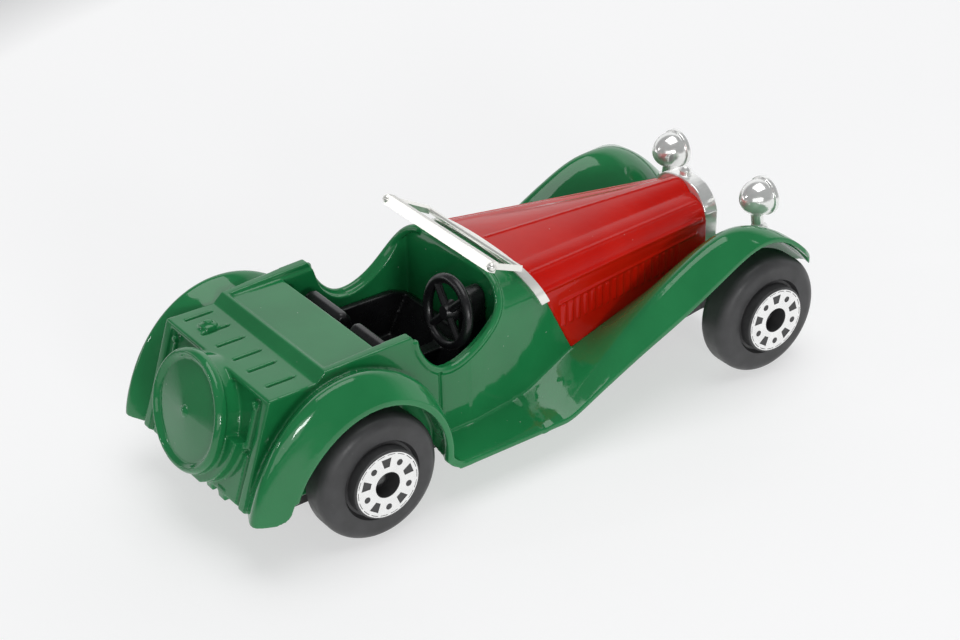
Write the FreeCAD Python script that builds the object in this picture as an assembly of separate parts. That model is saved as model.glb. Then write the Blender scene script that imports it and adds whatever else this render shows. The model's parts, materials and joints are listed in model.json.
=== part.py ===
import FreeCAD, Part
import math
import os

# A 1:55 diecast open sports car of the 1930s, in millimetres.
# Row frame: +X towards the nose, +Y to the car's left, +Z up; the origin is on the ground,
# half way along the car on its centre plane.  Every piece is drawn with x measured from the
# rear axle and then moved by rear_axle_x.

doc = FreeCAD.newDocument("diecast_car")
sheet = doc.addObject("Spreadsheet::Sheet", "dims")

DIMENSIONS = [
    ("rear_axle_x", -20.3, "rear axle behind the origin"),
    ("wheelbase", 48.0, "between axle centres"),
    ("tyre_radius", 6.5, "all four wheels"),
    ("tyre_outer_y", 13.75, "outer side wall from the centre plane"),
    ("tyre_inner_y", 9.85, "inner side wall from the centre plane"),
    ("tyre_shoulder", 1.0, "shoulder of the tread"),
    ("hub_face_y", 14.6, "hub face from the centre plane"),
    ("hub_radius", 3.6, "raised hub boss"),
    ("hub_bore_radius", 1.35, "recess that hides the axle's head"),
    ("hub_recess_y", 12.8, "floor of that recess"),
    ("foil_thickness", 0.05, "bright foil on the hub face"),
    ("foil_dot_radius", 0.33, "round windows in the foil"),
    ("foil_window_orbit", 2.42, "centres of the windows"),
    ("axle_radius", 0.6, "steel wire"),
    ("axle_clearance", 0.05, "radial play of axle and wheels"),
    ("axle_head_radius", 1.0, "upset head"),
    ("axle_head_length", 0.45, "thickness of the head"),
    ("arch_radius", 7.6, "rear wheel arch"),
    ("wing_edge_y", 13.65, "outer edge of wings and running boards"),
    ("wing_crown_y", 11.9, "crown line of the wings"),
    ("wing_skin", 0.9, "casting wall in the wings"),
    ("wing_edge_height", 0.6, "flat edge of wings and boards"),
    ("board_bottom_z", 3.9, "underside of the running boards"),
    ("board_rear_x", 8.9, "rear end of the running boards"),
    ("board_front_x", 18.6, "where the boards begin to turn up into the wings"),
    ("tub_wall", 1.0, "casting wall of the tub"),
    ("tub_half_width", 9.45, "at the rear wheels"),
    ("tub_bottom_z", 4.9, "lower edge of the tub"),
    ("deck_rear_x", -8.8, "rear edge of the boot lid"),
    ("deck_z", 16.4, "boot lid"),
    ("tail_x", -12.45, "foot of the tail panel"),
    ("tail_z", 5.7, "lower edge of the tail"),
    ("ridge_x", -3.7, "foot of the ridge between boot lid and tonneau"),
    ("ridge_z", 17.2, "top of that ridge and of the side rails' rear ends"),
    ("tonneau_z", 16.9, "tonneau cover at its rear edge"),
    ("engraving", 0.3, "width and depth of the engraved lines"),
    ("lip_radius", 0.42, "rolled lip of the cutaway doors"),
    ("tonneau_front_x", 3.5, "front edge of the tonneau cover"),
    ("rail_front_x", 6.8, "tips of the cockpit side rails"),
    ("rail_front_z", 17.5, "height of those tips"),
    ("dash_x", 18.1, "rear face of the scuttle"),
    ("cutaway_z", 12.5, "lowest point of the cutaway doors"),
    ("hood_rear_x", 21.3, "top of the bonnet's rear edge"),
    ("hood_front_x", 47.2, "bonnet's front edge"),
    ("hood_rear_half", 8.65, "half width at the rear edge"),
    ("hood_front_half", 4.45, "half width at the front edge"),
    ("hood_rear_top", 18.8, "centre line height at the rear edge"),
    ("hood_front_top", 17.35, "centre line height at the front edge"),
    ("hood_rear_foot", 7.2, "bonnet's lower edge, projected to its rear"),
    ("hood_front_foot", 10.4, "bonnet's lower edge at the front"),
    ("hood_skin", 0.8, "bonnet wall"),
    ("hood_lean", 27.0, "degrees that the rear edge leans forward at its foot"),
    ("spare_radius", 5.95, "spare wheel cover"),
    ("spare_depth", 2.4, "how far it stands off the tail"),
    ("spare_sink", 0.45, "how far its face lies below the rim"),
    ("spare_cone", 0.3, "rise of the face to its middle"),
    ("spare_fold", 4.0, "angle between its upper and lower halves, degrees"),
    ("spare_centre_z", 11.45, "height of its centre"),
    ("screen_rail_x", 16.5, "top rail of the windscreen"),
    ("screen_rail_z", 21.2, "height of the top rail"),
    ("screen_half_width", 8.8, "half the length of the top rail"),
    ("screen_rake", 62.0, "degrees back from upright"),
    ("screen_depth", 4.75, "along the slope"),
    ("screen_bar", 0.75, "width of the frame's bars"),
    ("screen_rail", 1.1, "thickness of its top rail"),
    ("radiator_depth", 1.7, "radiator shell, front to back"),
    ("lamp_radius", 2.1, "headlamp rim"),
    ("lamp_x", 52.4, "middle of the headlamp"),
    ("lamp_y", 7.0, "headlamps from the centre plane"),
    ("lamp_z", 16.3, "height of the headlamps"),
    ("base_bottom_z", 3.1, "underside of the base plate"),
    ("base_half_width", 8.1, "base plate"),
    ("base_rim_z", 4.9, "top of the base plate's rim"),
    ("base_thickness", 1.2, "base plate floor"),
    ("floor_z", 6.0, "cockpit floor"),
    ("seat_back_z", 15.4, "top of the seat backs"),
    ("steer_radius", 3.3, "steering wheel"),
    ("steer_y", 4.3, "right-hand drive"),
]
for row_number, (alias, value, note) in enumerate(DIMENSIONS, start=1):
    sheet.set("A%d" % row_number, note)
    sheet.set("B%d" % row_number, str(value))
    sheet.setAlias("B%d" % row_number, alias)
doc.recompute()

Vector = FreeCAD.Vector
Y_AXIS = Vector(0, 1, 0)
parts = []


def size(alias):
    """The value of one cell of the dimension sheet."""
    return float(sheet.get(alias))


ORIGIN_SHIFT = Vector(size("rear_axle_x"), 0, 0)


def register(obj, label):
    """Name a finished sub-part; its label is also its file name."""
    obj.Label = label
    parts.append(obj)
    return obj


def shape_part(label, shape):
    """A sub-part whose free-form shape comes straight from Part's functions."""
    feature = doc.addObject("Part::Feature", label)
    feature.Shape = shape.removeSplitter() if shape.ShapeType == "Solid" else shape
    feature.Placement = FreeCAD.Placement(ORIGIN_SHIFT, FreeCAD.Rotation())
    return register(feature, label)


# ---------------------------------------------------------------- geometry helpers

def polygon_prism(points, y_low, y_high):
    """Extrude a closed outline, drawn in the XZ plane, from y_low to y_high."""
    corners = [Vector(x, y_low, z) for x, z in points]
    wire = Part.makePolygon(corners + corners[:1])
    return Part.Face(wire).extrude(Vector(0, y_high - y_low, 0))


def plan_prism(points, z_low, z_high):
    """Extrude a closed outline, drawn in plan, from z_low to z_high."""
    corners = [Vector(x, y, z_low) for x, y in points]
    wire = Part.makePolygon(corners + corners[:1])
    return Part.Face(wire).extrude(Vector(0, 0, z_high - z_low))


def spline(points):
    """A smooth curve through the given points."""
    curve = Part.BSplineCurve()
    curve.interpolate(points)
    return curve.toShape()


def mirrored(shape):
    """The same shape on the other side of the car."""
    return shape.mirror(Vector(0, 0, 0), Y_AXIS)


def blend(knots, at):
    """Smooth (Catmull-Rom) interpolation of (station, value) pairs."""
    knots = sorted(knots)
    if at <= knots[0][0]:
        return knots[0][1]
    if at >= knots[-1][0]:
        return knots[-1][1]
    k = max(i for i, knot in enumerate(knots[:-1]) if knot[0] <= at)
    (x0, y0), (x1, y1) = knots[k], knots[k + 1]
    before = knots[k - 1] if k > 0 else knots[k]
    after = knots[k + 2] if k + 2 < len(knots) else knots[k + 1]
    slope0 = (y1 - before[1]) / (x1 - before[0])
    slope1 = (after[1] - y0) / (after[0] - x0)
    t = (at - x0) / (x1 - x0)
    span = x1 - x0
    return ((2 * t**3 - 3 * t**2 + 1) * y0 + (t**3 - 2 * t**2 + t) * span * slope0
            + (3 * t**2 - 2 * t**3) * y1 + (t**3 - t**2) * span * slope1)


# ---------------------------------------------------------------- bonnet and scuttle hull

def hood_fraction(x):
    """0 at the bonnet's rear edge, 1 at its front edge."""
    return (x - size("hood_rear_x")) / (size("hood_front_x") - size("hood_rear_x"))


def between(rear_alias, front_alias, x):
    rear, front = size(rear_alias), size(front_alias)
    return rear + (front - rear) * hood_fraction(x)


def hull_profile(x, inset=0.0):
    """Half width, top, shoulder height, shoulder radius and foot of the arch at station x."""
    fraction = max(0.0, hood_fraction(x))
    half = between("hood_rear_half", "hood_front_half", x)
    if x < size("hood_rear_x"):
        half = size("hood_rear_half") + 0.11 * (size("hood_rear_x") - x)
    top = between("hood_rear_top", "hood_front_top", x) - inset
    radius = 3.3 - 0.6 * fraction - inset * 0.8
    side_z = top - 0.5 - 0.5 * fraction - radius
    return half - inset, top, side_z, radius, between("hood_rear_foot", "hood_front_foot", x)


def on_hull(x, reach):
    """Point on the hull's left: reach 0 is the top's centre, 1 to 2 the shoulder, 3 the foot."""
    half, top, side_z, radius, foot = hull_profile(x)
    if reach <= 1:
        return Vector(x, (half - radius) * reach, top - (top - side_z - radius) * reach ** 2)
    if reach <= 2:
        turn = (reach - 1) * math.pi / 2
        return Vector(x, half - radius + radius * math.sin(turn), side_z + radius * math.cos(turn))
    return Vector(x, half, side_z + (foot - side_z) * (reach - 2))


def hull_half(x, z):
    """Half width of the hull's skin at height z."""
    half, top, side_z, radius, foot = hull_profile(x)
    rise = min(max(0.0, z - side_z), radius)
    return half - radius + math.sqrt(radius ** 2 - rise ** 2)


def hull_section(x, inset=0.0, foot=None):
    """Closed arch section of bonnet or scuttle at station x, shrunk by inset."""
    half, top, side_z, radius, own_foot = hull_profile(x, inset)
    foot = own_foot if foot is None else foot
    flat_y = half - radius
    bend = radius * math.sqrt(0.5)
    left = [Vector(x, half, foot), Vector(x, half, side_z),
            Vector(x, flat_y + bend, side_z + bend), Vector(x, flat_y, side_z + radius)]
    right = [Vector(p.x, -p.y, p.z) for p in left]
    edges = [
        Part.makeLine(right[0], left[0]),
        Part.makeLine(left[0], left[1]),
        Part.Arc(left[1], left[2], left[3]).toShape(),
        Part.Arc(left[3], Vector(x, 0, top), right[3]).toShape(),
        Part.Arc(right[3], right[2], right[1]).toShape(),
        Part.makeLine(right[1], right[0]),
    ]
    return Part.Wire(edges)


def hull(stations, inset=0.0, foot=None):
    """Solid lofted through arch sections at the given stations."""
    wires = [hull_section(x, inset, foot) for x in stations]
    return Part.makeLoft(wires, True, True)


def ahead_of_seam(offset):
    """Everything forward of the leaning joint between scuttle and bonnet."""
    lean = math.radians(size("hood_lean"))
    seam_top = Vector(size("hood_rear_x") + offset, 0, size("hood_rear_top"))
    box = Part.makeBox(60, 60, 80, Vector(0, -30, -40))
    box.rotate(Vector(0, 0, 0), Y_AXIS, -math.degrees(lean))
    box.translate(seam_top)
    return box


# ---------------------------------------------------------------- body casting

def tub():
    """Boot, tonneau and cockpit sides, before hollowing."""
    tail_x, tail_z = size("tail_x"), size("tail_z")
    deck_x, deck_z = size("deck_rear_x"), size("deck_z")
    ridge_x, ridge_z, tonneau_z = size("ridge_x"), size("ridge_z"), size("tonneau_z")
    bottom = size("tub_bottom_z")
    side = [
        (tail_x, tail_z), (deck_x, deck_z), (ridge_x, deck_z - 0.1), (ridge_x + 0.95, ridge_z),
        (size("rail_front_x") + 0.4, size("rail_front_z")), (14.6, 14.2), (20, 14.2), (24, bottom),
        (tail_x + 1.5, bottom),
    ]
    half = size("tub_half_width")
    plan = [(-14, half), (-3.5, half - 0.15), (7, half + 0.15), (13, half + 0.05),
            (18, half - 0.48), (22, half - 0.98), (28, half - 2.0)]
    outline = plan + [(x, -y) for x, y in reversed(plan)]
    block = polygon_prism(side, -11, 11).common(plan_prism(outline, 0, 30))
    # the tonneau cover lies a little below the ridge and the side rails
    start = ridge_x + 1.35
    sunk = [(start, tonneau_z), (start, 22), (8.5, 22), (8.5, tonneau_z - 0.15)]
    return block.cut(polygon_prism(sunk, -half + 1.0, half - 1.0))


def cutaway_points():
    """Side view of the cutaway door edge, from the rail's tip to the scuttle."""
    low, tip_x, tip_z = size("cutaway_z"), size("rail_front_x"), size("rail_front_z")
    dash_x = size("dash_x")
    return [(tip_x - 0.3, tip_z + 0.2), (tip_x + 0.25, tip_z - 0.7), (tip_x + 0.9, low + 2.2),
            (tip_x + 3.2, low), (14.4, low + 1.1), (dash_x - 0.6, low + 4.4),
            (dash_x + 0.2, low + 6.4)]


def rolled_lip():
    """Round bead along the cutaway edge, on the car's right."""
    dash_x, low = size("dash_x"), size("cutaway_z")
    edge = cutaway_points()[1:-1] + [(dash_x - 0.15, low + 5.5), (dash_x + 0.1, low + 6.05)]
    doors = size("tub_half_width") + 0.15
    points = [Vector(x, 0.25 - (doors if x < 13 else hull_half(x, z) + 0.05), z) for x, z in edge]
    path = Part.Wire(spline(points))
    ahead = points[1] - points[0]
    ring = Part.Wire(Part.Circle(points[0], ahead, size("lip_radius")).toShape())
    return path.makePipeShell([ring], True, True)


def cockpit_cutters():
    """Space above the doors, and the well inside the tub."""
    dash_x = size("dash_x")
    edge = cutaway_points()
    curve = spline([Vector(x, -12, z) for x, z in edge])
    (first_x, first_z), (last_x, last_z) = edge[0], edge[-1]
    roof = Part.makePolygon([Vector(last_x, -12, last_z), Vector(last_x, -12, 30),
                             Vector(first_x, -12, 30), Vector(first_x, -12, first_z)])
    doors = Part.Face(Part.Wire([curve] + roof.Edges)).extrude(Vector(0, 24, 0))
    inner = size("tub_half_width") - size("tub_wall")
    well_length = dash_x - size("tonneau_front_x")
    well = Part.makeBox(well_length, 2 * inner - 0.5, 30,
                        Vector(size("tonneau_front_x"), -inner + 0.25, 0))
    return doors, well


def tail_cavity():
    """Hollow under the boot lid and tonneau, open below."""
    wall = size("tub_wall")
    inner = size("tub_half_width") - wall
    back = size("tail_x") + 1.9 * wall
    side = [(back, 0), (back, size("tail_z")),
            (size("deck_rear_x") + 1.5 * wall, size("deck_z") - wall - 0.4),
            (size("tonneau_front_x") + 1, size("tonneau_z") - wall), (8, 0)]
    return polygon_prism(side, -inner, inner)


REAR_WING = {
    # angle about the rear axle in degrees, from straight ahead over the top to the tail
    "seam": [(-12, 9.6), (30, 9.0), (50, 9.1), (70, 9.3), (90, 9.65), (110, 9.75), (126, 9.8),
             (145, 10.0), (165, 10.6), (184, 12.2), (192, 13.0)],
    "crown": [(-12, 9.0), (30, 9.0), (50, 9.5), (70, 10.1), (90, 10.8), (110, 11.4), (126, 11.7),
              (145, 11.9), (165, 12.35), (184, 12.9), (192, 13.2)],
    "arch": [(-12, 7.6), (120, 7.6), (141, 7.9), (160, 8.4), (175, 9.1), (184, 9.9), (192, 11.0)],
}


def rear_wing():
    """Crowned wing wrapped over the rear wheel, as a thin skin, on the car's right."""
    skin, edge = size("wing_skin"), size("wing_edge_height")
    root_y, crown_y, edge_y = 8.9, size("wing_crown_y"), size("wing_edge_y")
    axle_z = size("tyre_radius")
    wires = []
    for angle in range(-10, 191, 20):
        seam = blend(REAR_WING["seam"], angle)
        crown = blend(REAR_WING["crown"], angle)
        arch = blend(REAR_WING["arch"], angle)
        lip = arch + edge
        direction = Vector(math.cos(math.radians(angle)), 0, math.sin(math.radians(angle)))

        def point(radius, y):
            return Vector(0, -y, axle_z) + direction * radius

        outer = spline([point(seam, root_y), point(0.45 * seam + 0.55 * crown, 10.5),
                        point(crown, crown_y), point(lip + 0.45 * (crown - lip), 13.1),
                        point(lip, edge_y)])
        inner_crown = max(crown - skin, arch + 0.02)
        inner_seam = max(seam - skin, arch + 0.02)
        inner = spline([point(arch, edge_y - 0.7), point(0.5 * (arch + inner_crown), 12.5),
                        point(inner_crown, crown_y - 0.6),
                        point(0.45 * inner_seam + 0.55 * inner_crown, 10.2),
                        point(inner_seam, root_y)])
        wires.append(Part.Wire([
            outer,
            Part.makeLine(point(lip, edge_y), point(arch, edge_y)),
            Part.makeLine(point(arch, edge_y), point(arch, edge_y - 0.7)),
            inner,
            Part.makeLine(point(inner_seam, root_y), point(seam, root_y)),
        ]))
    wing = Part.makeLoft(wires, True, False)
    # the tail end is cut level and rounded up towards the wheel
    low = size("tail_z") + 0.1
    keep = polygon_prism([(-20, 26), (-20, low), (-11.2, low), (-10.3, low + 0.3), (-9.7, low + 0.9),
                          (-9.3, low + 1.8), (-5, 8), (0, size("board_bottom_z")),
                          (20, size("board_bottom_z")), (20, 26)], -14, -4)
    return wing.common(keep)


def wing_toe():
    """Curved foot by which the rear wing's edge runs out into the running board, on the right."""
    axle_z, bottom = size("tyre_radius"), size("board_bottom_z")
    arch, top = size("arch_radius"), bottom + size("wing_edge_height")
    lip = arch + size("wing_edge_height")
    # a strip just inside the wing's flat edge
    y = 0.03 - size("wing_edge_y")
    outer = spline([Vector(lip - 0.1, y, axle_z + 0.4), Vector(lip + 0.1, y, top + 1.0),
                    Vector(lip + 0.95, y, top + 0.2), Vector(lip + 2.6, y, top - 0.04)])
    inner = spline([Vector(lip + 2.6, y, bottom + 0.05), Vector(arch + 1.6, y, bottom + 0.08),
                    Vector(arch + 0.4, y, bottom + 0.75), Vector(arch - 0.15, y, axle_z + 0.4)])
    ends = [Part.makeLine(outer.Vertexes[-1].Point, inner.Vertexes[0].Point),
            Part.makeLine(inner.Vertexes[-1].Point, outer.Vertexes[0].Point)]
    face = Part.Face(Part.Wire([outer, ends[0], inner, ends[1]]))
    return face.extrude(Vector(0, 0.62, 0))


FRONT_WING = {
    # station from the rear axle: lower edge, crown height, inner edge height
    "edge": [(18.6, 3.9), (21.4, 3.9), (22.6, 4.1), (26, 5.7), (31, 8.0), (36, 10.1), (40, 12.0), (43.5, 13.8),
             (46.5, 14.9), (49.5, 14.6), (52, 12.9), (55.3, 9.4)],
    "crown": [(18.6, 4.88), (20.8, 4.9), (22.6, 5.2), (26, 7.1), (31, 10.6), (36, 13.6), (40, 15.5), (43.5, 16.5),
              (46.5, 16.4), (49.5, 15.4), (52, 13.6), (55.3, 10.1)],
    "root": [(18.6, 5.63), (20.4, 5.95), (22.3, 6.85), (24.5, 7.55), (27, 8.1), (31, 8.5), (36, 9.0), (40, 9.6), (43.5, 10.2), (46.5, 10.8),
             (49.5, 11.2), (52, 10.6), (55.3, 8.2)],
}


def front_wing_section(x):
    """Closed section of the front wing's skin at station x."""
    skin, edge = size("wing_skin"), size("wing_edge_height")
    crown_y, edge_y = size("wing_crown_y"), size("wing_edge_y")
    lip = blend(FRONT_WING["edge"], x) + edge
    crown = max(blend(FRONT_WING["crown"], x), lip + 0.05)
    root = blend(FRONT_WING["root"], x)
    root_y = between("hood_rear_half", "hood_front_half", min(x, 47)) - 0.6
    root_y += 0.52 * max(0.0, x - 47)
    span = crown_y - root_y
    sag = 0.5 + 0.12 * min(1.0, max(0.0, (x - 20.4) / 4))

    def point(y, z):
        return Vector(x, -y, z)

    outer = spline([point(root_y, root), point(root_y + 0.5 * span, root + sag * (crown - root)),
                    point(crown_y, crown), point(13.1, lip + 0.38 * (crown - lip)),
                    point(edge_y, lip)])
    inner = spline([point(edge_y - 0.7, lip - edge), point(12.6, lip + 0.55 * (crown - lip) - skin),
                    point(crown_y - 0.5, crown - skin),
                    point(root_y + 0.5 * span, root + sag * (crown - root) - skin),
                    point(root_y, root - skin)])
    return Part.Wire([
        outer,
        Part.makeLine(point(edge_y, lip), point(edge_y, lip - edge)),
        Part.makeLine(point(edge_y, lip - edge), point(edge_y - 0.7, lip - edge)),
        inner,
        Part.makeLine(point(root_y, root - skin), point(root_y, root)),
    ])


def front_wing():
    """Long front wing from the running board over the front wheel, on the right."""
    stations = (19.8, 21, 21.9, 22.8, 23.8, 25.5, 28, 31, 35, 39, 43, 46, 49, 51.5, 53.4, 55.3)
    wires = [front_wing_section(x) for x in (size("board_front_x"),) + stations]
    wing = Part.makeLoft(wires, True, False)
    # the tip is rounded in plan
    tip = spline([Vector(48, -14.4, 0), Vector(53.0, -13.5, 0), Vector(54.9, -11.7, 0),
                  Vector(54.4, -9.6, 0), Vector(52.0, -7.6, 0), Vector(48, -6, 0)])
    start = size("board_front_x") - 0.5
    back = Part.makePolygon([Vector(48, -6, 0), Vector(48, 0, 0), Vector(start, 0, 0),
                             Vector(start, -14.4, 0), Vector(48, -14.4, 0)])
    outline = Part.Face(Part.Wire([tip] + back.Edges)).extrude(Vector(0, 0, 30))
    return wing.common(outline)


def running_board():
    """Flat step between the wings, the same in section as the front wing's first station."""
    face = Part.Face(front_wing_section(size("board_front_x")))
    return face.extrude(Vector(size("board_rear_x") - size("board_front_x"), 0, 0))


def engravings():
    """Lines cut into the casting: boot slots and the doors' rear shut lines."""
    wide = size("engraving")
    deck_z = size("deck_z")
    cuts = []
    for y in (-7.0, -3.7, -1.1, 1.9, 4.7, 7.9):
        cuts.append(Part.makeBox(3.1, wide, 2, Vector(-7.65, y - wide / 2, deck_z - 0.1 - wide)))
    for side in (-1, 1):
        y = 9.33 if side > 0 else -10.33
        cuts.append(Part.makeBox(wide, 1, 6.2, Vector(9.55, y, 6.4)))
    return cuts


def boot_fittings():
    """Filler cap and slot pins on the boot lid."""
    deck_z = size("deck_z")
    cap = Part.makeCylinder(0.85, 0.5, Vector(-6.4, 5.6, deck_z - 0.2))
    knob = Part.makeCone(0.5, 0.35, 0.35, Vector(-6.4, 5.6, deck_z + 0.3))
    pins = [Part.makeCylinder(0.2, 0.5, Vector(-4.75, y, deck_z - 0.4))
            for y in (-7.0, -3.7, -1.1, 1.9, 4.7, 7.9)]
    return [cap, knob] + pins


def on_tail(shape):
    """Put a shape on the leaning tail panel; -X is out, Z runs up the panel from its foot."""
    lean = math.atan2(size("deck_rear_x") - size("tail_x"), size("deck_z") - size("tail_z"))
    shape.rotate(Vector(0, 0, 0), Y_AXIS, math.degrees(lean))
    shape.translate(Vector(size("tail_x"), 0, size("tail_z")))
    return shape


def tail_recess():
    """Shallow recess between the corner posts, up to the boot lid's overhang."""
    return on_tail(Part.makeBox(1.4, 16.6, 11.4, Vector(-1.0, -8.3, -0.6)))


def tail_fittings():
    """Ribs, pins, lower plate and small lugs inside the recess."""
    pieces = [on_tail(Part.makeBox(0.5, 15.6, 5.0, Vector(0.1, -7.8, 0.1)))]
    for side in (-1, 1):
        pieces.append(on_tail(Part.makeBox(0.7, 0.5, 4.4, Vector(0.05, side * 7.3 - 0.25, 5.6))))
        pin = Part.makeCylinder(0.32, 0.9, Vector(-0.2, side * 7.3, 10.1), Vector(1, 0, 0))
        pieces.append(on_tail(pin))
        for y in (2.9, 5.1):
            pieces.append(Part.makeBox(1.3, 1.2, 1.2, Vector(-12.3, side * y - 0.6, 4.95)))
    support = Part.makeCylinder(7.2, 1.4, Vector(-1.0, 0, 6.65), Vector(1, 0, 0))
    lower_half = Part.makeBox(4, 20, 6.0, Vector(-2, -10, 0.1))
    pieces.append(on_tail(support.common(lower_half)))
    return pieces


def tail_direction():
    """Unit vector square to the leaning tail panel, pointing out."""
    run = size("deck_rear_x") - size("tail_x")
    rise = size("deck_z") - size("tail_z")
    length = math.hypot(run, rise)
    return Vector(-rise / length, 0, run / length)


def spare_cover():
    """Cover of the spare wheel: stepped rim and shallow cone, folded along its level middle line."""
    out = tail_direction()
    run = size("deck_rear_x") - size("tail_x")
    rise = size("deck_z") - size("tail_z")
    centre_z = size("spare_centre_z")
    on_panel = Vector(size("tail_x") + run / rise * (centre_z - size("tail_z")), 0, centre_z)
    on_panel -= out * 1.0
    radius, depth = size("spare_radius"), size("spare_depth") + 1.0
    face = depth - size("spare_sink")
    middle = face + size("spare_cone")
    profile = Part.makePolygon([
        Vector(0, 0, 0), Vector(radius - 0.5, 0, 0), Vector(radius - 0.5, 0, depth - 1.3),
        Vector(radius, 0, depth - 1.0), Vector(radius, 0, depth - 0.35),
        Vector(radius - 0.3, 0, depth), Vector(radius - 0.6, 0, depth),
        Vector(radius - 0.95, 0, face), Vector(0.5, 0, middle),
        Vector(0.35, 0, middle + 0.25), Vector(0, 0, middle + 0.28), Vector(0, 0, 0)])
    disc = Part.Face(profile).revolve(Vector(0, 0, 0), Vector(0, 0, 1), 360)
    disc.Placement = FreeCAD.Placement(on_panel, FreeCAD.Rotation(Vector(0, 0, 1), out))
    lean = math.degrees(math.atan2(run, rise)) - 0.5 * size("spare_fold")
    above = Part.makeBox(20, 20, 20, Vector(-10, -10, 0))
    above.rotate(Vector(0, 0, 0), Y_AXIS, lean)
    centre = on_panel + out * depth
    above.translate(centre)
    upper = disc.common(above)
    lower = upper.mirror(centre, Vector(math.sin(math.radians(lean)), 0, math.cos(math.radians(lean))))
    return upper.fuse(lower)


def body_casting():
    doors, well = cockpit_cutters()
    scuttle = hull([13.2, 21.3, 29.0], foot=size("tub_bottom_z"))
    centre = tub().fuse(scuttle).cut(ahead_of_seam(0))
    # side walls below the bonnet carry the inner edges of the front wings
    nose_stations = [20.5, size("hood_front_x")]
    below_hood = []
    for inset in (0.1, 1.2):
        wires = []
        for x in nose_stations:
            half = between("hood_rear_half", "hood_front_half", x) - inset
            top = between("hood_rear_foot", "hood_front_foot", x) - 0.02
            low = size("tub_bottom_z") if inset < 1 else 0
            high = top if inset < 1 else 30
            wires.append(Part.makePolygon([Vector(x, -half, low), Vector(x, half, low),
                                           Vector(x, half, high), Vector(x, -half, high),
                                           Vector(x, -half, low)]))
        below_hood.append(Part.makeLoft(wires, True, True))
    nose = below_hood[0].cut(below_hood[1])
    front = size("hood_front_x")
    apron = Part.makeBox(3.8, 13.0, 0.9, Vector(front - 0.4, -6.5, 8.6))
    cheek = Part.makeBox(3.2, 1.7, 2.2, Vector(front + 0.1, -6.1, 8.6))
    engine_bay = hull([size("dash_x") + 1.1, 21.3, 29.0], inset=1.0, foot=0)
    axle_slot = Part.makeBox(1.6, 30, 4.0, Vector(-0.8, -15, 3.3))
    centre = centre.cut(tail_recess()).fuse(boot_fittings() + tail_fittings())
    centre = centre.cut(doors).cut(well).cut(tail_cavity()).cut(engine_bay)
    sides = [cheek, mirrored(cheek)]
    wheel_well = Part.makeCylinder(size("arch_radius"), 5, Vector(0, -14.55, size("tyre_radius")), Y_AXIS)
    bonnet_space = hull([20.0, front]).common(ahead_of_seam(0))
    radiator_space = Part.makeBox(2.4, 8.6, 10, Vector(front, -4.3, 9.5))
    for wing in (rear_wing(), wing_toe(), front_wing(), running_board()):
        wing = wing.cut(engine_bay).cut(well).cut(bonnet_space).cut(radiator_space)
        sides += [wing, mirrored(wing)]
    lip = rolled_lip()
    whole = centre.fuse(sides + [nose, apron, spare_cover(), lip, mirrored(lip)])
    whole = whole.cut(engravings())
    for cavity in (wheel_well, mirrored(wheel_well), axle_slot):
        whole = whole.cut(cavity)
    return whole.removeSplitter()


def bonnet():
    """Tapering bonnet cover with hinge beads and louvres, open below and in front."""
    front, rear = size("hood_front_x"), size("hood_rear_x")
    shell = hull([20.0, front]).cut(hull([19.0, front + 1], inset=size("hood_skin"), foot=0))

    beads = [(0.0, 0.2, 0.8, 0.1), (1.38, 0.26, 1.0, 0.12), (1.8, 0.24, 1.6, 0.1), (2.16, 0.16, 4.0, 0.06)]
    trims = []
    for reach, thickness, behind, sunk in beads:
        # each bead lies a little sunk into the skin
        start, end = on_hull(rear + behind, reach), on_hull(front - 0.4 * behind, reach)
        inward = Vector(0, -sunk if reach else 0, -sunk if reach < 2 else 0)
        start, end = start + inward, end + inward
        bead = Part.makeCylinder(thickness, (end - start).Length, start, end - start)
        trims += [bead] if reach == 0 else [bead, mirrored(bead)]
    for k in range(17):
        top = on_hull(25.6 + 1.05 * k, 2.2)
        louvre = Part.makeBox(0.4, 0.6, 2.3, Vector(top.x, top.y - 0.53, top.z - 2.4))
        trims += [louvre, mirrored(louvre)]
    limits = hull([20.0, front], inset=-0.35)
    inner = hull([19.0, front + 1], inset=size("hood_skin"), foot=0)
    trims = [piece.common(limits).cut(inner) for piece in trims]
    return shell.fuse(trims).common(ahead_of_seam(0)).removeSplitter()


# ---------------------------------------------------------------- turned and padded pieces

def sketch_body(label, plane, outline, placement):
    """A PartDesign body holding one closed sketch of straight lines."""
    body = doc.addObject("PartDesign::Body", label)
    sketch = body.newObject("Sketcher::SketchObject", label + "_sketch")
    origin_plane = [f for f in body.Origin.OriginFeatures if f.Role == plane][0]
    sketch.AttachmentSupport = [(origin_plane, "")]
    sketch.MapMode = "FlatFace"
    closed = outline + outline[:1]
    for (u0, v0), (u1, v1) in zip(closed, closed[1:]):
        sketch.addGeometry(Part.LineSegment(Vector(u0, v0, 0), Vector(u1, v1, 0)), False)
    body.Placement = placement
    register(body, label)
    return body, sketch


def turned(label, outline, placement):
    """Turn an outline of (radius, axial) points about the car's Y direction."""
    body, sketch = sketch_body(label, "XY_Plane", outline, placement)
    turn = body.newObject("PartDesign::Revolution", label + "_turn")
    turn.Profile = sketch
    turn.ReferenceAxis = (sketch, ["V_Axis"])
    turn.Angle = 360
    return body


def axle_place(x, turn_about_x=0.0):
    spin = FreeCAD.Rotation(Vector(1, 0, 0), turn_about_x)
    return FreeCAD.Placement(ORIGIN_SHIFT + Vector(x, 0, size("tyre_radius")), spin)


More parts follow.
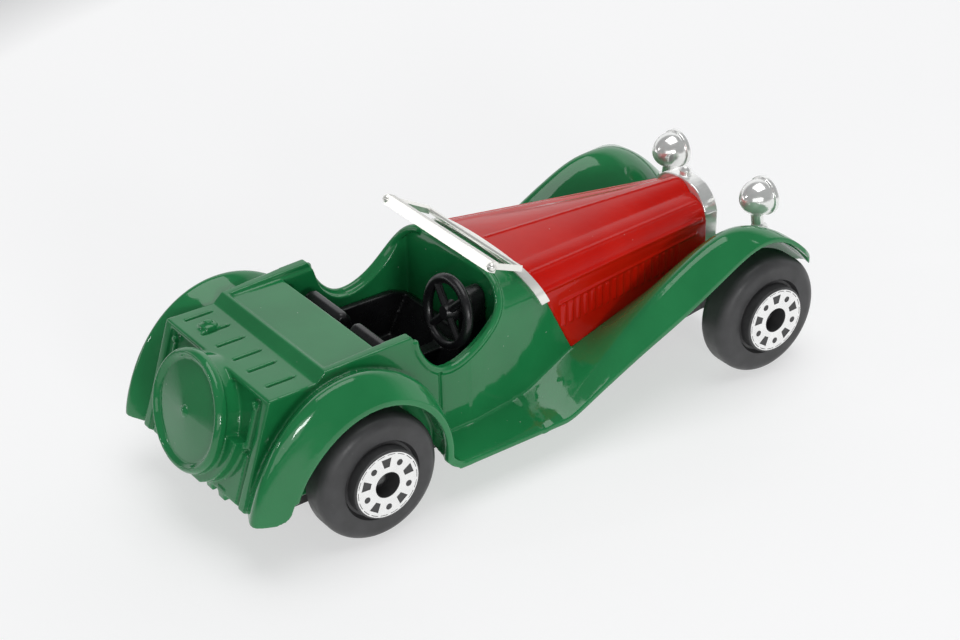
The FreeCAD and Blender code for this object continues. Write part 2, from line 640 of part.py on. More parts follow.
def make_wheel(label, x, side):
    """Plastic wheel with tyre, raised hub boss, head recess and axle bore."""
    tyre, inner, outer = size("tyre_radius"), size("tyre_inner_y"), size("tyre_outer_y")
    face, hub = size("hub_face_y"), size("hub_radius")
    floor, recess = size("hub_recess_y"), size("hub_bore_radius")
    bore = size("axle_radius") + size("axle_clearance")
    chamfer = size("tyre_shoulder")
    soft = 0.3 * chamfer
    outline = [
        (bore, inner + 0.6), (2.2, inner + 0.6), (2.4, inner), (tyre - chamfer, inner),
        (tyre - soft, inner + soft), (tyre, inner + chamfer),
        (tyre, outer - chamfer), (tyre - soft, outer - soft), (tyre - chamfer, outer),
        (hub + 0.35, outer), (hub + 0.3, outer - 0.2), (hub, outer - 0.2), (hub, face - 0.15),
        (hub - 0.15, face), (recess, face), (recess, floor), (bore, floor),
    ]
    return turned(label, outline, axle_place(x, 0.0 if side > 0 else 180.0))


def make_axle(label, x):
    """Steel wire axle with an upset head at each end."""
    radius, head = size("axle_radius"), size("axle_head_radius")
    seat = size("hub_recess_y") + size("axle_clearance")
    tip = seat + size("axle_head_length")
    right = [(0, -tip), (head - 0.35, -tip), (head, -tip + 0.25), (head, -seat), (radius, -seat)]
    left = [(r, -y) for r, y in reversed(right)]
    return turned(label, right + left, axle_place(x))


def hub_foil(label, x, side):
    """Hot-stamped foil ring with five round and five flared windows and a broken outer line."""
    thick, start = size("foil_thickness"), size("hub_face_y")
    outer, inner = size("hub_radius") - 0.2, size("hub_bore_radius")
    orbit, dot = size("foil_window_orbit"), size("foil_dot_radius")
    ring = Part.makeCylinder(outer, thick, Vector(0, start, 0), Y_AXIS)
    ring = ring.cut(Part.makeCylinder(inner, thick, Vector(0, start, 0), Y_AXIS))
    for turn in range(0, 360, 72):
        hole = Part.makeCylinder(dot, thick, Vector(0, start, orbit), Y_AXIS)
        flared = polygon_prism([(-0.3, orbit - 0.5), (0.3, orbit - 0.5), (0.55, orbit + 0.45),
                                (-0.55, orbit + 0.45)], start, start + thick)
        hole.rotate(Vector(0, 0, 0), Y_AXIS, turn)
        flared.rotate(Vector(0, 0, 0), Y_AXIS, turn + 36)
        ring = ring.cut(hole).cut(flared)
    line = Part.makeCylinder(outer - 0.12, thick, Vector(0, start, 0), Y_AXIS)
    line = line.cut(Part.makeCylinder(outer - 0.19, thick, Vector(0, start, 0), Y_AXIS))
    for turn in range(0, 180, 20):
        bridge = Part.makeBox(0.3, thick, 8, Vector(-0.15, start, -4))
        bridge.rotate(Vector(0, 0, 0), Y_AXIS, turn)
        line = line.cut(bridge)
    ring = ring.cut(line)
    feature = doc.addObject("Part::Feature", label)
    feature.Shape = ring
    feature.Placement = axle_place(x, 0.0 if side > 0 else 180.0)
    return register(feature, label)


def base_plate():
    """Closing plate with a rim, axle lugs and two rivets' bosses."""
    low, rim, floor = size("base_bottom_z"), size("base_rim_z"), size("base_thickness")
    rear = size("base_half_width")
    front_x = size("hood_front_x") + 3.0

    def outline(shrink):
        plan = [(-9.2 + shrink, rear), (20, rear), (size("hood_front_x"), 3.9), (front_x - shrink, 3.9)]
        plan = [(x, y - shrink) for x, y in plan]
        return plan + [(x, -y) for x, y in reversed(plan)]

    plate = plan_prism(outline(0), low, rim).cut(plan_prism(outline(0.9), low + floor, rim + 1))
    axle_z = size("tyre_radius")
    for x, lug_y in ((0.0, 5.6), (size("wheelbase"), 1.4)):
        for side in (-1, 1):
            start = lug_y if side > 0 else -lug_y - 1.6
            lug = Part.makeBox(2.8, 1.6, 3.6, Vector(x - 1.4, start, low + floor))
            plate = plate.fuse(lug)
        bore = Part.makeCylinder(size("axle_radius") + size("axle_clearance"), 20,
                                 Vector(x, -10, axle_z), Y_AXIS)
        plate = plate.cut(bore)
    for x in (-6.5, 33.0):
        plate = plate.cut(Part.makeCylinder(1.5, 0.5, Vector(x, 0, low)))
        plate = plate.cut(Part.makeCylinder(0.9, 5, Vector(x, 0, low)))
    return plate.removeSplitter()


def rivet(x):
    """Spun rivet that holds the base plate to the casting."""
    low = size("base_bottom_z")
    head = Part.makeCone(1.4, 1.1, 0.45, Vector(x, 0, low + 0.5), Vector(0, 0, -1))
    return head.fuse(Part.makeCylinder(0.85, 2.2, Vector(x, 0, low + 0.5))).removeSplitter()


def interior_tray():
    """Black moulding: floor, door liners, bulkheads and tunnel."""
    start, end = size("tonneau_front_x") + 0.3, size("dash_x") - 0.1
    half, bottom, floor = 8.05, size("base_rim_z"), size("floor_z")
    block = polygon_prism([(start, bottom), (end, bottom), (end, 10.4), (end - 2.2, 11.4),
                           (start + 1.2, 11.6), (start, 14.6)], -half, half)
    cavity = polygon_prism([(start + 0.8, floor + 0.8), (end - 3.0, floor + 0.8), (end - 0.9, 10.5),
                            (end - 0.9, 20), (start + 0.8, 20)], -half + 0.8, half - 0.8)
    tunnel = Part.makeBox(end - start - 2.5, 1.6, 2.0, Vector(start + 0.5, -0.8, floor + 0.7))
    shroud = Part.makeBox(1.9, 2.2, 7.0, Vector(end - 1.9, -size("steer_y") - 1.3, 8.8))
    hood = Part.makeCylinder(1.1, 1.9, Vector(end - 1.9, -size("steer_y") - 0.2, 15.8), Vector(1, 0, 0))
    return block.cut(cavity).fuse([tunnel, shroud, hood]).removeSplitter()


def seat(side):
    """One bucket seat: cushion and leaning back."""
    x, floor = size("tonneau_front_x") + 1.3, size("floor_z") + 0.8
    top = size("seat_back_z")
    inner, outer = 0.9, 7.1
    low_y = inner if side > 0 else -outer
    profile = [(x + 0.9, floor), (x + 6.6, floor), (x + 7.0, floor + 2.3), (x + 3.0, floor + 1.9),
               (x + 2.0, top - 0.9), (x + 1.5, top - 0.1), (x + 0.8, top), (x + 0.2, top - 0.5)]
    block = polygon_prism(profile, low_y, low_y + outer - inner)
    upright = [e for e in block.Edges if e.BoundBox.YLength < 0.01 and e.CenterOfMass.z > floor + 0.1]
    return block.makeFillet(0.45, upright)


def steering_wheel():
    """Thin rimmed wheel with four spokes on a straight column."""
    radius = size("steer_radius")
    rim = Part.makeTorus(radius, 0.52)
    boss = Part.makeCone(1.15, 0.65, 1.1, Vector(0, 0, -0.52))
    column = Part.makeCylinder(0.38, 3.0, Vector(0, 0, -3.0))
    wheel = rim.fuse([boss, column])
    for turn in range(45, 360, 90):
        spoke = Part.makeCylinder(0.4, radius, Vector(0, 0, 0), Vector(1, 0, 0))
        spoke.rotate(Vector(0, 0, 0), Vector(0, 0, 1), turn)
        wheel = wheel.fuse(spoke)
    back = Vector(-0.985, 0, 0.174)
    wheel.Placement = FreeCAD.Placement(Vector(14.4, -size("steer_y"), 15.0),
                                        FreeCAD.Rotation(Vector(0, 0, 1), back))
    dash_face = Part.makeBox(10, 20, 40, Vector(size("dash_x") - 1.0, -10, 0))
    return wheel.cut(dash_face).removeSplitter()


def windscreen_frame():
    """Raked frame with a top rail, two pillars, a foot bar and a strip over the bonnet joint."""
    bar, half = size("screen_bar"), size("screen_half_width")
    rake = math.radians(size("screen_rake"))
    top = Vector(size("screen_rail_x"), 0, size("screen_rail_z"))
    along = Vector(math.sin(rake), 0, -math.cos(rake))
    foot = top + along * size("screen_depth")

    def strut(start, end, width):
        """Square bar between two points, square to the pane."""
        axis = end - start
        rod = Part.makeBox(width, width, axis.Length, Vector(-width / 2, -width / 2, 0))
        rod.Placement = FreeCAD.Placement(start, FreeCAD.Rotation(Vector(0, 0, 1), axis))
        return rod

    across = Vector(0, half, 0)
    rail = size("screen_rail")
    frame = Part.makeBox(rail, 2 * half, rail * 0.8, Vector(-rail * 0.5, -half, -rail * 0.6))
    frame.rotate(Vector(0, 0, 0), Y_AXIS, -size("screen_rake"))
    frame.translate(top)
    for side in (-1, 1):
        corner = top + across * side * 0.965
        base = Vector(foot.x, 7.6 * side, foot.z + 0.1)
        frame = frame.fuse(strut(corner, base, bar * 0.8))
        clamp = Part.makeSphere(bar * 0.62, top + across * side)
        frame = frame.fuse(clamp)
    lower = Part.makeCylinder(bar * 0.4, 15.2, Vector(foot.x, -7.6, foot.z + 0.1), Y_AXIS)
    stations = [19.0, 21.3, 27.0]
    strip = hull(stations, inset=-0.36).cut(hull([18.0, 21.3, 28.0], foot=0))
    strip = strip.common(ahead_of_seam(-0.9)).cut(ahead_of_seam(0.2))
    strip = strip.common(Part.makeBox(20, 30, 10, Vector(10, -15, 14.9)))
    scuttle = hull([13.2, 21.3, 29.0], foot=0)
    return frame.fuse(lower).cut(scuttle).fuse(strip).removeSplitter()


def radiator_outline(x, inset):
    """Closed wire of the radiator's rounded front outline."""
    half, top, foot = 4.25 - inset, 17.45 - inset, 9.5 + inset
    left = [Vector(x, half - 0.15, foot), Vector(x, half, 14.6), Vector(x, half - 0.75, 16.1),
            Vector(x, 2.3 - 0.5 * inset, top - 0.35), Vector(x, 0, top)]
    right = [Vector(p.x, -p.y, p.z) for p in left]
    return Part.Wire([
        Part.makeLine(right[0], left[0]),
        Part.makeLine(left[0], left[1]),
        Part.Arc(left[1], left[2], left[3]).toShape(),
        Part.Arc(left[3], left[4], right[3]).toShape(),
        Part.Arc(right[3], right[2], right[1]).toShape(),
        Part.makeLine(right[1], right[0]),
    ])


def radiator_shell():
    start, depth = size("hood_front_x"), size("radiator_depth")
    shell = Part.Face(radiator_outline(start, 0)).extrude(Vector(depth, 0, 0))
    pocket = Part.Face(radiator_outline(start + depth - 0.7, 0.7)).extrude(Vector(1, 0, 0))
    cap = Part.makeCylinder(0.62, 0.9, Vector(start + 0.8, 0, 17.1))
    knob = Part.makeCone(0.62, 0.3, 0.35, Vector(start + 0.8, 0, 18.0))
    return shell.cut(pocket).fuse([cap, knob]).removeSplitter()


def radiator_grille():
    """Slatted insert inside the shell."""
    back = size("hood_front_x") + size("radiator_depth") - 0.7
    plate = Part.Face(radiator_outline(back, 0.75)).extrude(Vector(0.3, 0, 0))
    slats = [Part.makeBox(0.5, 0.3, 9, Vector(back + 0.1, 0.75 * k - 0.15, 9)) for k in range(-4, 5)]
    inside = Part.Face(radiator_outline(back, 0.8)).extrude(Vector(0.6, 0, 0))
    bars = Part.makeCompound(slats).common(inside)
    return plate.fuse(bars.Solids).removeSplitter()


def headlamp(side):
    """Bullet lamp with a raised rim on a short stem."""
    radius = size("lamp_radius")
    centre = Vector(size("lamp_x"), side * size("lamp_y"), size("lamp_z"))
    tail, nose = -2.6, 1.05
    bowl = Part.Wire([
        Part.makeLine(Vector(tail, 0, 0), Vector(tail, 0.35, 0)),
        Part.Arc(Vector(tail, 0.35, 0), Vector(-1.5, 0.78 * radius, 0),
                 Vector(0.1, radius - 0.2, 0)).toShape(),
        Part.makePolygon([Vector(0.1, radius - 0.2, 0), Vector(0.1, radius, 0),
                          Vector(0.6, radius, 0), Vector(0.75, radius - 0.25, 0)]),
        Part.Arc(Vector(0.75, radius - 0.25, 0), Vector(0.95, 1.1, 0), Vector(nose, 0.4, 0)).toShape(),
        Part.makePolygon([Vector(nose, 0.4, 0), Vector(nose, 0, 0), Vector(tail, 0, 0)]),
    ])
    lamp = Part.Face(bowl).revolve(Vector(0, 0, 0), Vector(1, 0, 0), 360)
    lamp.translate(centre)
    foot = Vector(size("lamp_x") - 0.6, side * (size("lamp_y") + 0.5), 11.6)
    pad = Part.makeCone(1.45, 0.8, 1.5, foot + Vector(0, 0, 0.3))
    neck = centre + Vector(-0.6, 0, -1.2)
    stem = Part.makeCylinder(0.66, (neck - foot).Length, foot, neck - foot)
    return lamp.fuse([stem, pad]).removeSplitter()


# ---------------------------------------------------------------- build every sub-part

shape_part("body_casting", body_casting())
shape_part("bonnet", bonnet())
shape_part("base_plate", base_plate())
shape_part("rivet_rear", rivet(-6.5))
shape_part("rivet_front", rivet(33.0))
shape_part("interior_tray", interior_tray())
shape_part("seat_left", seat(1))
shape_part("seat_right", seat(-1))
shape_part("steering_wheel", steering_wheel())
shape_part("windscreen_frame", windscreen_frame())
shape_part("radiator_shell", radiator_shell())
shape_part("radiator_grille", radiator_grille())
shape_part("headlamp_left", headlamp(1))
shape_part("headlamp_right", headlamp(-1))
for axle_name, axle_x in (("rear", 0.0), ("front", size("wheelbase"))):
    make_axle("axle_" + axle_name, axle_x)
    for side_name, side in (("left", 1), ("right", -1)):
        make_wheel("wheel_%s_%s" % (axle_name, side_name), axle_x, side)
        hub_foil("foil_%s_%s" % (axle_name, side_name), axle_x, side)

doc.recompute()

for obj in doc.Objects:
    bad = [state for state in obj.State if state in ("Invalid", "Error")]
    if bad:
        raise RuntimeError("%s is %s" % (obj.Label, bad))
os.makedirs("parts", exist_ok=True)
for obj in parts:
    if obj.Shape.isNull() or not obj.Shape.isValid():
        raise RuntimeError("bad shape in " + obj.Label)
    if len(obj.Shape.Solids) != 1:
        print("warning: %s has %d solids" % (obj.Label, len(obj.Shape.Solids)))
    obj.Shape.exportStep(os.path.join("parts", obj.Label + ".step"))
    box = obj.Shape.BoundBox
    print("%-18s x %.2f..%.2f y %.2f..%.2f z %.2f..%.2f" % (
        obj.Label, box.XMin, box.XMax, box.YMin, box.YMax, box.ZMin, box.ZMax))
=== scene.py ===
import json
import math

import bmesh
import bpy
from mathutils import Matrix, Vector


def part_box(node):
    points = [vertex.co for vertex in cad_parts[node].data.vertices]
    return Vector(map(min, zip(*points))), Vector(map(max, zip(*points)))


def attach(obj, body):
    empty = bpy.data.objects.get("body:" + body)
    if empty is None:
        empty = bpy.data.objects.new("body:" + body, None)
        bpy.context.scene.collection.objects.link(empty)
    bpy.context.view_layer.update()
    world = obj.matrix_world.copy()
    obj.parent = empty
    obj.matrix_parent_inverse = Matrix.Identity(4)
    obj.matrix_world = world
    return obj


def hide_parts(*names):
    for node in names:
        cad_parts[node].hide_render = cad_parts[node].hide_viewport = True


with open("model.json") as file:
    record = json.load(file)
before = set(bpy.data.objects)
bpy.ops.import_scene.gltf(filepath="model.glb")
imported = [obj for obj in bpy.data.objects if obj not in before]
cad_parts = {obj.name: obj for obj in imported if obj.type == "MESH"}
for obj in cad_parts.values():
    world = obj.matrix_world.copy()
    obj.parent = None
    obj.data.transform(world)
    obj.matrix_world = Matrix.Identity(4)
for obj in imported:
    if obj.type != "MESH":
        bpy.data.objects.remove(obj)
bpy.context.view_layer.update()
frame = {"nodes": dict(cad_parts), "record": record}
MM = 0.001
NODES = frame["nodes"]


# ------------------------------------------------------------------ material helpers

def new_material(name):
    """An empty node material; returns (material, node tree, principled shader)."""
    material = bpy.data.materials.new(name)
    material.use_nodes = True
    shader = material.node_tree.nodes["Principled BSDF"]
    return material, material.node_tree, shader


def add(tree, kind, **values):
    """Add a node and set its inputs by name."""
    node = tree.nodes.new(kind)
    for key, value in values.items():
        key = key.replace("_", " ")
        if key in node.inputs:
            node.inputs[key].default_value = value
    return node


def object_noise(tree, scale, detail=3.0, roughness=0.55):
    """Noise in object space; scale is in features per metre."""
    place = tree.nodes.new("ShaderNodeTexCoord")
    noise = add(tree, "ShaderNodeTexNoise", Scale=scale, Detail=detail, Roughness=roughness)
    tree.links.new(place.outputs["Object"], noise.inputs["Vector"])
    return noise.outputs["Fac"]


def remap(tree, value, low, high, to_low, to_high):
    node = add(tree, "ShaderNodeMapRange")
    node.inputs["From Min"].default_value = low
    node.inputs["From Max"].default_value = high
    node.inputs["To Min"].default_value = to_low
    node.inputs["To Max"].default_value = to_high
    tree.links.new(value, node.inputs["Value"])
    return node.outputs["Result"]


def mix_colour(tree, factor, first, second):
    """Blend two colours; each is an RGB triple or a socket."""
    node = tree.nodes.new("ShaderNodeMix")
    node.data_type = "RGBA"
    tree.links.new(factor, node.inputs["Factor"])
    for key, value in (("A", first), ("B", second)):
        target = [s for s in node.inputs if s.name == key and s.type == "RGBA"][0]
        if isinstance(value, (tuple, list)):
            target.default_value = (*value, 1.0)
        else:
            tree.links.new(value, target)
    return [s for s in node.outputs if s.type == "RGBA"][0]


def bump(tree, shader, height, distance, strength=1.0):
    """Feed a height field to the shader's normal; distance is in metres."""
    node = add(tree, "ShaderNodeBump", Strength=strength, Distance=distance)
    tree.links.new(height, node.inputs["Height"])
    earlier = shader.inputs["Normal"].links
    if earlier:
        tree.links.new(earlier[0].from_socket, node.inputs["Normal"])
    tree.links.new(node.outputs["Normal"], shader.inputs["Normal"])


def enamel(name, deep, light, roughness, ior=1.5):
    """Thick glossy enamel on a casting: slow ripple, fine orange peel, a few dust specks.

    deep and light are the ends of its slow change of tint.
    """
    material, tree, shader = new_material(name)
    tint = remap(tree, object_noise(tree, 120.0), 0.35, 0.65, 0.0, 1.0)
    base = mix_colour(tree, tint, deep, light)
    specks = remap(tree, object_noise(tree, 2600.0, 1.0), 0.795, 0.83, 0.0, 0.5)
    base = mix_colour(tree, specks, base, (0.55, 0.6, 0.55))
    tree.links.new(base, shader.inputs["Base Color"])
    rough = remap(tree, object_noise(tree, 420.0, 4.0), 0.3, 0.7, roughness * 0.8, roughness * 1.3)
    tree.links.new(rough, shader.inputs["Roughness"])
    shader.inputs["IOR"].default_value = ior
    shader.inputs["Coat Weight"].default_value = 0.1
    shader.inputs["Coat Roughness"].default_value = 0.02
    bump(tree, shader, object_noise(tree, 260.0, 2.0), 0.00005, 0.5)
    bump(tree, shader, object_noise(tree, 1900.0, 2.0), 0.000006, 0.5)
    return material


def plating(name, colour, roughness, ripple=0.00001, metallic=1.0, smear=0.5):
    """Plated, foiled or bare metal with faint smears and ripple.

    ripple is its height in metres; metallic below 1 makes it milkier; smear is the share by which
    the roughness changes.
    """
    material, tree, shader = new_material(name)
    tint = remap(tree, object_noise(tree, 900.0), 0.3, 0.7, 0.0, 1.0)
    base = mix_colour(tree, tint, tuple(0.94 * c for c in colour), colour)
    tree.links.new(base, shader.inputs["Base Color"])
    shader.inputs["Metallic"].default_value = metallic
    rough = remap(tree, object_noise(tree, 700.0, 2.0), 0.3, 0.7, roughness * (1 - smear),
                  roughness * (1 + smear))
    tree.links.new(rough, shader.inputs["Roughness"])
    bump(tree, shader, object_noise(tree, 500.0, 1.0), ripple, 0.6)
    return material


def plastic(name, dark, light, roughness):
    """Moulded plastic with fine texture and pale scuffs."""
    material, tree, shader = new_material(name)
    tint = remap(tree, object_noise(tree, 500.0, 6.0), 0.3, 0.75, 0.0, 1.0)
    base = mix_colour(tree, tint, dark, light)
    marks = remap(tree, object_noise(tree, 1700.0, 8.0, 0.7), 0.66, 0.78, 0.0, 0.25)
    base = mix_colour(tree, marks, base, (0.2, 0.2, 0.2))
    tree.links.new(base, shader.inputs["Base Color"])
    rough = remap(tree, object_noise(tree, 800.0, 4.0), 0.3, 0.7, roughness * 0.8, roughness * 1.25)
    tree.links.new(rough, shader.inputs["Roughness"])
    bump(tree, shader, object_noise(tree, 3200.0, 3.0), 0.000008, 0.6)
    return material


GREEN = enamel("green enamel", (0.011, 0.185, 0.055), (0.016, 0.215, 0.067), 0.075)
RED = enamel("red enamel", (0.53, 0.004, 0.0006), (0.6, 0.007, 0.001), 0.16, 1.3)
CHROME = plating("bright plating", (0.98, 0.98, 0.96), 0.16, metallic=0.65)
SATIN = plating("satin plating", (0.99, 0.98, 0.93), 0.2, ripple=0.000001, metallic=0.6, smear=0.1)
FOIL = plating("hot foil", (0.97, 0.97, 0.96), 0.22, ripple=0.000002, metallic=0.8, smear=0.2)
# steel's own grey, darkened further as painted shade so the axle ends deep in the hub bores look dark
STEEL_SHADED = plating("bare steel darkened as shade", (0.3, 0.3, 0.3), 0.35)
BASE_BLACK = plastic("black base", (0.014, 0.014, 0.014), (0.024, 0.024, 0.023), 0.42)
CABIN_BLACK = plastic("cabin black", (0.006, 0.006, 0.007), (0.012, 0.012, 0.013), 0.28)
WHEEL_BLACK = plastic("wheel black", (0.036, 0.036, 0.037), (0.054, 0.054, 0.056), 0.42)
GRILLE_BLACK = plastic("grille black", (0.01, 0.01, 0.01), (0.02, 0.02, 0.02), 0.5)

SLOT_MATERIALS = {
    "green_enamel": GREEN, "red_enamel": RED, "black_metal": BASE_BLACK, "bare_metal": STEEL_SHADED,
    "black_plastic": CABIN_BLACK, "chrome_trim": CHROME, "dark_grille": GRILLE_BLACK,
    "wheel_plastic": WHEEL_BLACK, "silver_foil": FOIL,
}


def body_of_node(node_name):
    for body, nodes in frame["record"]["behaviour"]["bodies"].items():
        if node_name in nodes:
            return body
    raise ValueError(node_name)


def slot_of_node(node_name):
    for subpart in frame["record"]["subparts"]:
        if subpart["node"] == node_name:
            return subpart["material_slot"]
    raise ValueError(node_name)


for node_name, node in NODES.items():
    material = SLOT_MATERIALS[slot_of_node(node_name)]
    if node_name == "windscreen_frame":
        material = SATIN
    for material_slot in node.material_slots:
        material_slot.material = material


# ------------------------------------------------------------------ rounded castings

def evaluated_copy(obj, name):
    """New mesh object from obj with its modifiers applied; obj is removed."""
    graph = bpy.context.evaluated_depsgraph_get()
    mesh = bpy.data.meshes.new_from_object(obj.evaluated_get(graph), depsgraph=graph)
    mesh.name = name
    result = bpy.data.objects.new(name, mesh)
    bpy.context.collection.objects.link(result)
    bpy.data.objects.remove(obj, do_unlink=True)
    return result


def cast(node_name, voxel, rounds, most_triangles):
    """Replace a CAD node by the same shape with the soft edges of a coated casting.

    voxel is the grid in millimetres; rounds sets how far the edges are eased.
    """
    mesh = NODES[node_name].data.copy()
    mesh.transform(Matrix.Scale(1000.0, 4))
    work = bpy.data.objects.new("work", mesh)
    bpy.context.collection.objects.link(work)
    remesh = work.modifiers.new("remesh", "REMESH")
    remesh.mode = "VOXEL"
    remesh.voxel_size = voxel
    remesh.use_smooth_shade = True
    ease = work.modifiers.new("ease", "SMOOTH")
    ease.factor = 0.5
    ease.iterations = rounds
    dense = evaluated_copy(work, "dense")
    triangles = sum(len(face.vertices) - 2 for face in dense.data.polygons)
    light = bpy.data.objects.new("light", dense.data.copy())
    bpy.context.collection.objects.link(light)
    thin = light.modifiers.new("thin", "DECIMATE")
    thin.ratio = min(1.0, most_triangles / triangles)
    share = light.modifiers.new("normals", "DATA_TRANSFER")
    share.object = dense
    share.use_loop_data = True
    share.data_types_loops = {"CUSTOM_NORMAL"}
    share.loop_mapping = "POLYINTERP_NEAREST"
    piece = evaluated_copy(light, node_name + "_cast")
    bpy.data.objects.remove(dense, do_unlink=True)
    piece.data.transform(Matrix.Scale(0.001, 4))
    piece.data.materials.clear()
    piece.data.materials.append(SLOT_MATERIALS[slot_of_node(node_name)])
    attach(piece, body_of_node(node_name))
    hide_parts(node_name)
    return piece


cast("body_casting", 0.12, 4, 190000)
cast("bonnet", 0.1, 3, 120000)
cast("interior_tray", 0.14, 4, 40000)
cast("radiator_shell", 0.07, 4, 40000)
for side in ("left", "right"):
    cast("seat_" + side, 0.12, 8, 20000)
    cast("headlamp_" + side, 0.07, 3, 40000)


# ------------------------------------------------------------------ wheels

HUB_RADIUS, BORE_RADIUS, RECESS_RADIUS = 3.6, 0.65, 1.35
HUB_STAND = 0.85        # how far the hub's face stands out of the tyre's side
RECESS_DEPTH = 1.8
TYRE_SHOULDER = 1.25    # radius of the tyre's rounded edges
WHEEL_SEGMENTS = 144


def arc(centre_r, centre_y, radius, start, end, steps):
    """Points of a circular arc in the wheel's (radius, axial) half plane; angles in degrees."""
    turns = [math.radians(start + (end - start) * k / steps) for k in range(steps + 1)]
    return [(centre_r + radius * math.cos(a), centre_y + radius * math.sin(a)) for a in turns]


def wheel_profile(inner, face, tyre):
    """Closed section of tyre and hub with rounded shoulders, in millimetres.

    inner and face are the wheel's two ends along the axle; tyre is its radius.
    """
    outer = face - HUB_STAND
    floor = face - RECESS_DEPTH
    tread = tyre - TYRE_SHOULDER
    hub = HUB_RADIUS
    points = [(BORE_RADIUS, inner + 0.6), (2.2, inner + 0.6)]
    points += arc(2.6, inner + 0.2, 0.2, 180, 270, 4)
    points += arc(tread, inner + TYRE_SHOULDER, TYRE_SHOULDER, -90, 0, 12)
    points += arc(tread, outer - TYRE_SHOULDER, TYRE_SHOULDER, 0, 90, 12)
    # shallow groove between the tyre and the hub
    points += [(hub + 0.55, outer), (hub + 0.4, outer - 0.25), (hub + 0.3, outer - 0.45)]
    points += [(hub + 0.05, outer - 0.45), (hub, outer - 0.4)]
    points += arc(hub - 0.15, face - 0.15, 0.15, 0, 90, 4)
    points += arc(RECESS_RADIUS + 0.1, face - 0.1, 0.1, 90, 180, 4)
    points += [(RECESS_RADIUS, floor), (BORE_RADIUS, floor)]
    return points


def lathe(node_name):
    """A wheel turned from the smooth section; it stands for the CAD wheel on the same axle line."""
    low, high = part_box(node_name)
    side = 1.0 if high[1] > 0 else -1.0
    centre_x, centre_z = 0.5 * (low[0] + high[0]), 0.5 * (low[2] + high[2])
    inner, face = sorted(abs(value) / MM for value in (low[1], high[1]))
    section = wheel_profile(inner, face, 0.5 * (high[2] - low[2]) / MM)
    mesh = bmesh.new()
    rings = []
    for k in range(WHEEL_SEGMENTS):
        turn = 2 * math.pi * k / WHEEL_SEGMENTS
        rings.append([mesh.verts.new((centre_x + r * MM * math.cos(turn), side * y * MM,
                                      centre_z + r * MM * math.sin(turn))) for r, y in section])
    count = len(section)
    for k in range(WHEEL_SEGMENTS):
        here, there = rings[k], rings[(k + 1) % WHEEL_SEGMENTS]
        for i in range(count):
            mesh.faces.new((here[i], here[(i + 1) % count], there[(i + 1) % count], there[i]))
    bmesh.ops.recalc_face_normals(mesh, faces=mesh.faces)
    for edge in mesh.edges:
        edge.smooth = edge.calc_face_angle(0.0) < math.radians(40)
    for face_item in mesh.faces:
        face_item.smooth = True
    data = bpy.data.meshes.new(node_name + "_lathe")
    mesh.to_mesh(data)
    mesh.free()
    data.materials.append(WHEEL_BLACK)
    piece = bpy.data.objects.new(node_name + "_lathe", data)
    bpy.context.collection.objects.link(piece)
    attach(piece, body_of_node(node_name))
    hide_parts(node_name)


for node_name in sorted(NODES):
    if node_name.startswith("wheel_"):
        lathe(node_name)


# ------------------------------------------------------------------ set

PAPER_MIDDLE = (0.05, 0.0, 0.0)
# the white centre is a painted glow and the grey beyond it is painted shade; the paper itself is white
# all over
PAPER_GLOW_TO, PAPER_SHADE_FROM = 0.12, 0.16    # radii of the white and of the grey, metres


def make_floor():
    """White paper under the car with a painted glow that lifts the car's shadow on it, falling off to
    painted grey shade farther out.
    """
    bpy.ops.mesh.primitive_plane_add(size=3.0, location=(0, 0, 0))
    floor = bpy.context.object
    floor.name = "floor"
    material, tree, shader = new_material("paper with painted glow and shade")
    tint = remap(tree, object_noise(tree, 6.0), 0.3, 0.7, 0.0, 1.0)
    paper = mix_colour(tree, tint, (0.45, 0.45, 0.455), (0.48, 0.48, 0.485))
    place = tree.nodes.new("ShaderNodeTexCoord")
    distance = add(tree, "ShaderNodeVectorMath")
    distance.operation = "DISTANCE"
    distance.inputs[1].default_value = PAPER_MIDDLE
    tree.links.new(place.outputs["Object"], distance.inputs[0])
    away = remap(tree, distance.outputs["Value"], PAPER_GLOW_TO, PAPER_SHADE_FROM, 0.0, 1.0)
    # painted shade: the base colour turns grey away from the middle
    base = mix_colour(tree, away, paper, (0.2, 0.2, 0.2))
    tree.links.new(base, shader.inputs["Base Color"])
    # painted light: the emission glows white near the car to lighten its shadow, and dims farther out
    glow = mix_colour(tree, away, (1.0, 1.0, 1.0), (0.1, 0.1, 0.1))
    tree.links.new(glow, shader.inputs["Emission Color"])
    shader.inputs["Emission Strength"].default_value = 0.55
    shader.inputs["Roughness"].default_value = 0.75
    shader.inputs["Specular IOR Level"].default_value = 0.2
    floor.data.materials.append(material)


def area_light(name, place, target, width, height, power):
    """Rectangular softbox aimed at a point; sizes in metres, power in watts."""
    data = bpy.data.lights.new(name, "AREA")
    data.shape = "RECTANGLE"
    data.size = width
    data.size_y = height
    data.energy = power
    lamp = bpy.data.objects.new(name, data)
    bpy.context.collection.objects.link(lamp)
    lamp.location = place
    aim = Vector(target) - Vector(place)
    lamp.rotation_euler = aim.to_track_quat("-Z", "Y").to_euler()


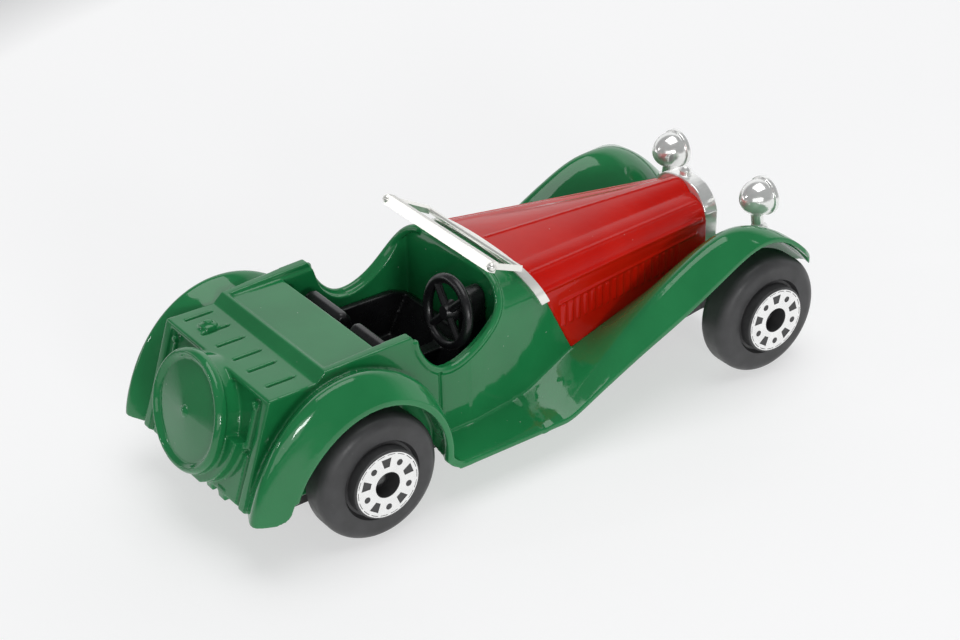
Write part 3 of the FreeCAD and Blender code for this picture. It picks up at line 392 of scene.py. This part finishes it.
def studio_world():
    """Backdrop that is pale ahead of the car, to its left and low down, and dim behind and overhead."""
    world = bpy.data.worlds.new("studio")
    world.use_nodes = True
    tree = world.node_tree
    place = tree.nodes.new("ShaderNodeTexCoord")
    toward = add(tree, "ShaderNodeVectorMath")
    toward.operation = "DOT_PRODUCT"
    toward.inputs[1].default_value = (0.8, 0.6, -0.9)
    tree.links.new(place.outputs["Generated"], toward.inputs[0])
    amount = remap(tree, toward.outputs["Value"], -0.08, 0.26, 0.0, 1.0)
    colour = mix_colour(tree, amount, (0.2, 0.205, 0.21), (0.95, 0.96, 0.97))
    background = tree.nodes["Background"]
    tree.links.new(colour, background.inputs["Color"])
    background.inputs["Strength"].default_value = 1.0
    bpy.context.scene.world = world


make_floor()
studio_world()
area_light("overhead", (0.1, 0.0, 0.8), (0, 0, 0), 0.7, 0.6, 3.1)
area_light("near_fill", (-0.4, -0.62, 0.2), (0, 0, 0.01), 0.7, 0.3, 0.9)
area_light("edge_lamp", (-0.16, -0.61, 0.17), (0, 0, 0.01), 0.15, 0.09, 0.75)
area_light("band_card", (-0.5, 0.5, 0.1), (0, 0, 0.015), 0.34, 0.12, 0.22)
area_light("high_lamp", (-0.72, 0.33, 0.38), (0, 0, 0.01), 0.05, 0.05, 0.25)

# ------------------------------------------------------------------ camera

HEADING, ELEVATION, ROLL = 35.19, -30.78, -1.535    # degrees, heading clockwise from +Y
CAMERA_AT = Vector((-112.55, -160.9, 126.8)) * MM
camera_data = bpy.data.cameras.new("camera")
camera_data.lens = 85.38
camera_data.sensor_width = 36.0
camera_data.clip_start = 0.01
camera_data.clip_end = 20.0
camera = bpy.data.objects.new("camera", camera_data)
bpy.context.collection.objects.link(camera)
turn = Matrix.Rotation(math.radians(-HEADING), 4, "Z")
tilt = Matrix.Rotation(math.radians(90 + ELEVATION), 4, "X")
roll = Matrix.Rotation(math.radians(ROLL), 4, "Z")
camera.matrix_world = Matrix.Translation(CAMERA_AT) @ turn @ tilt @ roll
bpy.context.scene.camera = camera
bpy.context.scene.view_settings.view_transform = "Standard"
